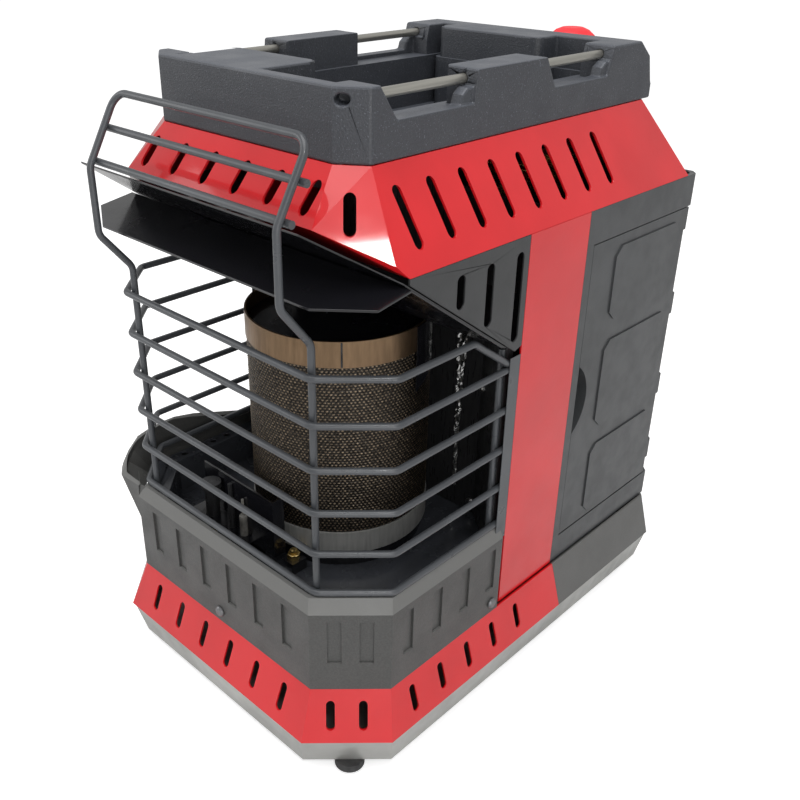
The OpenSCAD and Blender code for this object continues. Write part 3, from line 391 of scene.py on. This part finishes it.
def add_stage():
    """Plain pale floor that stays a little darker where the heater shades it."""
    floor_mesh = bpy.data.meshes.new("floor")
    reach = FLOOR_REACH
    floor_mesh.from_pydata(
        [(-reach, -reach, 0), (reach, -reach, 0), (reach, reach, 0), (-reach, reach, 0)],
        [], [(0, 1, 2, 3)])
    floor = bpy.data.objects.new("floor", floor_mesh)
    scene.collection.objects.link(floor)
    material = bpy.data.materials.new("floor")
    material.use_nodes = True
    tree = material.node_tree
    tree.nodes.clear()
    out = tree.nodes.new("ShaderNodeOutputMaterial")
    diffuse = tree.nodes.new("ShaderNodeBsdfDiffuse")
    diffuse.inputs["Color"].default_value = (FLOOR_GREY, FLOOR_GREY, FLOOR_GREY, 1)
    glow = tree.nodes.new("ShaderNodeEmission")
    path = tree.nodes.new("ShaderNodeLightPath")
    shown = tree.nodes.new("ShaderNodeMath")
    shown.operation = "MULTIPLY"
    shown.inputs[1].default_value = FLOOR_GLOW
    tree.links.new(path.outputs["Is Camera Ray"], shown.inputs[0])
    tree.links.new(shown.outputs[0], glow.inputs["Strength"])
    both = tree.nodes.new("ShaderNodeAddShader")
    tree.links.new(diffuse.outputs[0], both.inputs[0])
    tree.links.new(glow.outputs[0], both.inputs[1])
    tree.links.new(both.outputs[0], out.inputs["Surface"])
    floor_mesh.materials.append(material)


def add_world():
    world = bpy.data.worlds.new("studio")
    scene.world = world
    world.use_nodes = True
    tree = world.node_tree
    back = tree.nodes["Background"]
    back.inputs["Color"].default_value = (1, 1, 1, 1)
    path = tree.nodes.new("ShaderNodeLightPath")
    either = tree.nodes.new("ShaderNodeMath")
    either.operation = "MAXIMUM"
    tree.links.new(path.outputs["Is Camera Ray"], either.inputs[0])
    tree.links.new(path.outputs["Is Transmission Ray"], either.inputs[1])
    strength = tree.nodes.new("ShaderNodeMapRange")
    strength.inputs["To Min"].default_value = WORLD_LIGHT
    strength.inputs["To Max"].default_value = WORLD_SEEN
    tree.links.new(either.outputs[0], strength.inputs["Value"])
    tree.links.new(strength.outputs[0], back.inputs["Strength"])


def add_lamp(name, place, target, size, power):
    data = bpy.data.lights.new(name, "AREA")
    data.shape = "RECTANGLE"
    data.size, data.size_y = size
    data.energy = power
    lamp = bpy.data.objects.new(name, data)
    scene.collection.objects.link(lamp)
    lamp.location = place
    lamp.rotation_euler = (Vector(target) - Vector(place)).to_track_quat("-Z", "Y").to_euler()


def add_lamps():
    middle = (0, 0, 0.2)
    hood_corner = (0.09, -0.125, 0.31)
    add_lamp("overhead", (0.1, -0.3, 1.7), middle, (1.4, 1.0), 12)
    add_lamp("glare", (0.90, -0.71, 1.44), hood_corner, (0.26, 0.08), 3.4)
    add_lamp("front_right", (1.4, -1.0, 0.5), middle, (0.8, 1.0), 6.5)
    add_lamp("front_left", (-1.3, -1.1, 0.8), middle, (0.8, 1.0), 4)


# ---- pieces added to the housing ---------------------------------------------

def object_from(name, mesh, material):
    """A piece that rides on the housing, like all that this script adds."""
    obj = bpy.data.objects.new(name, mesh)
    scene.collection.objects.link(obj)
    mesh.materials.append(material)
    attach(obj, "housing")
    return obj


def burner_cloth(materials):
    """Knitted wire cloth round the burner: raised loops in rows, in real relief.

    Heights run from about 0 in the gaps to 1 on the loops; radius is that of the middle one.
    """
    low, high = (Vector(c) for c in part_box("burner_mesh"))
    centre = (low + high) / 2
    radius = (high.x - low.x) / 2 - 0.35 * MM
    relief = 0.6 * MM
    middle = 0.45
    # Faces higher than this on average take the painted highlight.
    crown = 0.47
    unevenness = 0.25
    loops = 140
    rows = 62
    per_loop = 4
    per_row = 4
    columns = loops * per_loop
    steps = rows * per_row
    points = []
    heights = []
    for j in range(steps + 1):
        z = low.z + (high.z - low.z) * j / steps
        row = j / per_row
        along = math.sin(math.pi * (row % 1.0))
        for i in range(columns):
            angle = 2 * math.pi * i / columns
            turn = i / per_loop + 0.5 * (int(row) % 2)
            across = math.cos(2 * math.pi * turn)
            wander = unevenness * noise.noise(Vector((angle * 40, row * 0.9, 0)))
            height = (0.5 + 0.5 * across) * along + wander
            heights.append(height)
            r = radius + relief * (height - middle)
            points.append((centre.x + r * math.cos(angle), centre.y + r * math.sin(angle), z))
    faces = []
    for j in range(steps):
        for i in range(columns):
            k = (i + 1) % columns
            a, b = j * columns, (j + 1) * columns
            faces.append((a + i, a + k, b + k, b + i))
    mesh = bpy.data.meshes.new("burner_cloth")
    mesh.from_pydata(points, [], faces)
    mesh.shade_smooth()
    cloth = object_from("burner_cloth", mesh, materials["mesh"])
    # Faces on the crowns of the loops take the paler material: a painted highlight.
    mesh.materials.append(materials["mesh_crown_highlight"])
    for face in mesh.polygons:
        if sum(heights[k] for k in face.vertices) > len(face.vertices) * crown:
            face.material_index = 1
    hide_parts("burner_mesh")


# ---- small parts, all built in millimetres ---------------------------------------

def mesh_from(name, build):
    """A mesh that the build function fills through a bmesh; build works in millimetres."""
    bm = bmesh.new()
    build(bm)
    bmesh.ops.scale(bm, vec=(MM, MM, MM), verts=bm.verts)
    mesh = bpy.data.meshes.new(name)
    bm.to_mesh(mesh)
    bm.free()
    return mesh


def add_piece(materials, name, build, finish):
    """A piece in the named finish."""
    return object_from(name, mesh_from(name, build), materials[finish])


def add_box(bm, low, high):
    size = [b - a for a, b in zip(low, high)]
    middle = [(a + b) / 2 for a, b in zip(low, high)]
    made = bmesh.ops.create_cube(bm, size=1)["verts"]
    bmesh.ops.scale(bm, vec=size, verts=made)
    bmesh.ops.translate(bm, vec=middle, verts=made)


def add_round(bm, place, direction, profile, sides=24):
    """A turned part: profile is a list of (radius, height) along the direction."""
    turn = Vector(direction).to_track_quat("Z", "Y").to_matrix()
    rings = []
    for radius, height in profile:
        ring = []
        for k in range(sides):
            a = 2 * math.pi * k / sides
            p = turn @ Vector((radius * math.cos(a), radius * math.sin(a), height))
            ring.append(bm.verts.new(p + Vector(place)))
        rings.append(ring)
    for lower, upper in zip(rings, rings[1:]):
        for k in range(sides):
            bm.faces.new((lower[k], lower[(k + 1) % sides], upper[(k + 1) % sides], upper[k]))
    bm.faces.new(list(reversed(rings[0])))
    bm.faces.new(rings[-1])


def band_seam(materials):
    """Lapped seam in the bronze band, facing the front right."""
    low, high = (Vector(c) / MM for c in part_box("top_band"))
    centre = (low + high) / 2
    radius = (high.x - low.x) / 2
    turn = math.radians(-42.6)
    out = Vector((math.cos(turn), math.sin(turn), 0))
    side = Vector((-out.y, out.x, 0))

    def build(bm):
        for z in (low.z + 0.4, high.z - 0.4):
            for across, lift in ((-0.6, 0.02), (-0.5, 0.25), (0.5, 0.25), (0.6, 0.02)):
                bm.verts.new(Vector((centre.x, centre.y, z)) + out * (radius + lift)
                             + side * across)
        bm.verts.ensure_lookup_table()
        for k in range(3):
            bm.faces.new([bm.verts[n] for n in (k, k + 1, k + 5, k + 4)])

    add_piece(materials, "band_seam", build, "black_enamel")


def burner_shield_and_shade(materials):
    """Black sheet that wraps the back of the burner's top, clear of the bronze band; its lower
    part, over the top of the mesh, is painted shade.
    """
    low, high = (Vector(c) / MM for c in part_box("top_band"))
    centre = (low + high) / 2
    inner = (high.x - low.x) / 2 + 0.4
    outer = inner + 0.6
    start, end = math.radians(7), math.radians(173)
    steps = 72
    top = high.z - 0.3
    # Below the band the sheet covers the top of the mesh as painted shade.
    bottom = low.z - 26
    # The lower edge rises by this much over the first and last few steps
    rise, rise_steps = 8, 8

    def build(bm):
        rings = []
        for i in range(steps + 1):
            a = start + (end - start) * i / steps
            way = Vector((math.cos(a), math.sin(a), 0))
            foot = bottom + rise * min(1, i / rise_steps, (steps - i) / rise_steps)
            ring = []
            for r, z in ((inner, foot), (outer, foot), (outer, top), (inner, top)):
                ring.append(bm.verts.new(Vector((centre.x, centre.y, z)) + way * r))
            rings.append(ring)
        for a, b in zip(rings, rings[1:]):
            for k in range(4):
                bm.faces.new((a[k], b[k], b[(k + 1) % 4], a[(k + 1) % 4]))
        bm.faces.new(rings[0])
        bm.faces.new(list(reversed(rings[-1])))

    add_piece(materials, "burner_shield_and_shade", build, "black_enamel")


def corner_webs(materials):
    """Webs over a notch and a slit that front_bumper's solid has at its raised left corner."""
    notch = [(-84.4, -156.7, 121.7), (-76.4, -154.4, 121.8), (-80.6, -157.0, 114.4)]
    scoop = [(-109.5, -139.5, 112.2), (-96.5, -147.5, 107.5), (-95.5, -144.0, 103.3),
             (-108.0, -134.5, 106.1)]

    def build(bm):
        for outline, inward in ((notch, Vector((0.1, 1.4, -0.4))),
                                (scoop, Vector((-0.28, -0.28, -0.3)))):
            front = [bm.verts.new(p) for p in outline]
            back = [bm.verts.new(Vector(p) + inward) for p in outline]
            bm.faces.new(front)
            bm.faces.new(list(reversed(back)))
            for k in range(len(front)):
                n = (k + 1) % len(front)
                bm.faces.new((front[n], front[k], back[k], back[n]))
        bmesh.ops.recalc_face_normals(bm, faces=bm.faces)

    add_piece(materials, "corner_webs", build, "bumper_grey")


def heat_foil(materials):
    """Crumpled strip of foil on the panel behind the burner."""
    rows, columns = 90, 8
    z0, z1 = 104.0, 240.0
    panel_y = 10.2

    def build(bm):
        grid = []
        for j in range(rows + 1):
            f = j / rows
            z = z0 + (z1 - z0) * f
            sway = 1.2 * noise.noise(Vector((0, 0, z * 0.05)))
            left = 44.5 - 3.0 * f + sway
            width = 3.0 + 7.5 * f * f
            line = []
            for i in range(columns + 1):
                u = i / columns
                dent = abs(noise.noise(Vector((u * 2.4, 7.3, z * 0.16))))
                fold = abs(noise.noise(Vector((u * 6.0, 1.9, z * 0.45))))
                line.append(bm.verts.new((left + width * u, panel_y - 0.3 - 2.6 * dent
                                          - 0.9 * fold, z)))
            grid.append(line)
        for a, b in zip(grid, grid[1:]):
            for i in range(columns):
                bm.faces.new((a[i], a[i + 1], b[i + 1], b[i]))

    foil = add_piece(materials, "heat_foil", build, "steel")
    thick = foil.modifiers.new("thickness", "SOLIDIFY")
    thick.thickness = 0.12 * MM


def reflector_screws(materials):
    """Self-tapping screws that hold the reflector, two each side."""
    # Direction that the reflector's right wing faces; the left one mirrors it
    wing = Vector((-34, -43.8, 0)).normalized()
    head = [(0.01, -0.2), (3.4, -0.2), (3.4, 0.6), (2.6, 1.6), (1.1, 2.1)]

    def build(bm):
        for s in (-1, 1):
            add_round(bm, (s * 65.4, 7.6, 187), (s * wing.x, wing.y, 0), head)
            add_round(bm, (s * 59.4, 10.3, 96), (0, -1, 0), head)

    add_piece(materials, "reflector_screws", build, "steel")


def pilot_shield(materials):
    """Black folded plate in front of the burner's foot.

    It passes through the pilot's shelf, thermocouple and electrode.
    """
    left, right = -33.0, 13.6
    foot, top = 97.6, 138.0
    front, back = -124.2, -115.4
    thick = 0.8

    def build(bm):
        add_box(bm, (left, front, foot), (right, front + thick, top))
        add_box(bm, (right - thick, front + thick, foot), (right, back, top))

    add_piece(materials, "pilot_shield", build, "black_enamel")


def jet_plate(materials):
    """Small bracket beside the pilot with the brass nut of the gas line."""
    def plate(bm):
        add_box(bm, (14.6, -120.0, 95.0), (25.6, -108.8, 96.0))
        add_box(bm, (24.6, -120.0, 88.3), (25.6, -108.8, 95.2))

    def nut(bm):
        add_round(bm, (20.0, -114.4, 96.02), (0, 0, 1), [(4.2, 0), (4.2, 3.4), (3.7, 3.8)], 6)
        add_round(bm, (20.0, -114.4, 99.8), (0, 0, 1), [(2.4, 0), (2.4, 2.2), (1.6, 2.6)])

    add_piece(materials, "jet_plate", plate, "black_enamel")
    add_piece(materials, "jet_nut", nut, "brass")


def edge_guards(materials):
    """Bare sheet edges that stand between the guard and the red side bands."""
    def build(bm):
        for s in (-1, 1):
            x = sorted((s * 111.6, s * 111.95))
            add_box(bm, (x[0], -32.0, 112.6), (x[1], -22.7, 236.0))

    add_piece(materials, "edge_guards", build, "wire")


# ---- run ---------------------------------------------------------------------

scene.view_settings.view_transform = "Standard"
add_camera()
add_stage()
add_world()
add_lamps()
materials = make_materials()
dress_nodes(materials)
burner_cloth(materials)
band_seam(materials)
burner_shield_and_shade(materials)
corner_webs(materials)
heat_foil(materials)
reflector_screws(materials)
pilot_shield(materials)
jet_plate(materials)
edge_guards(materials)
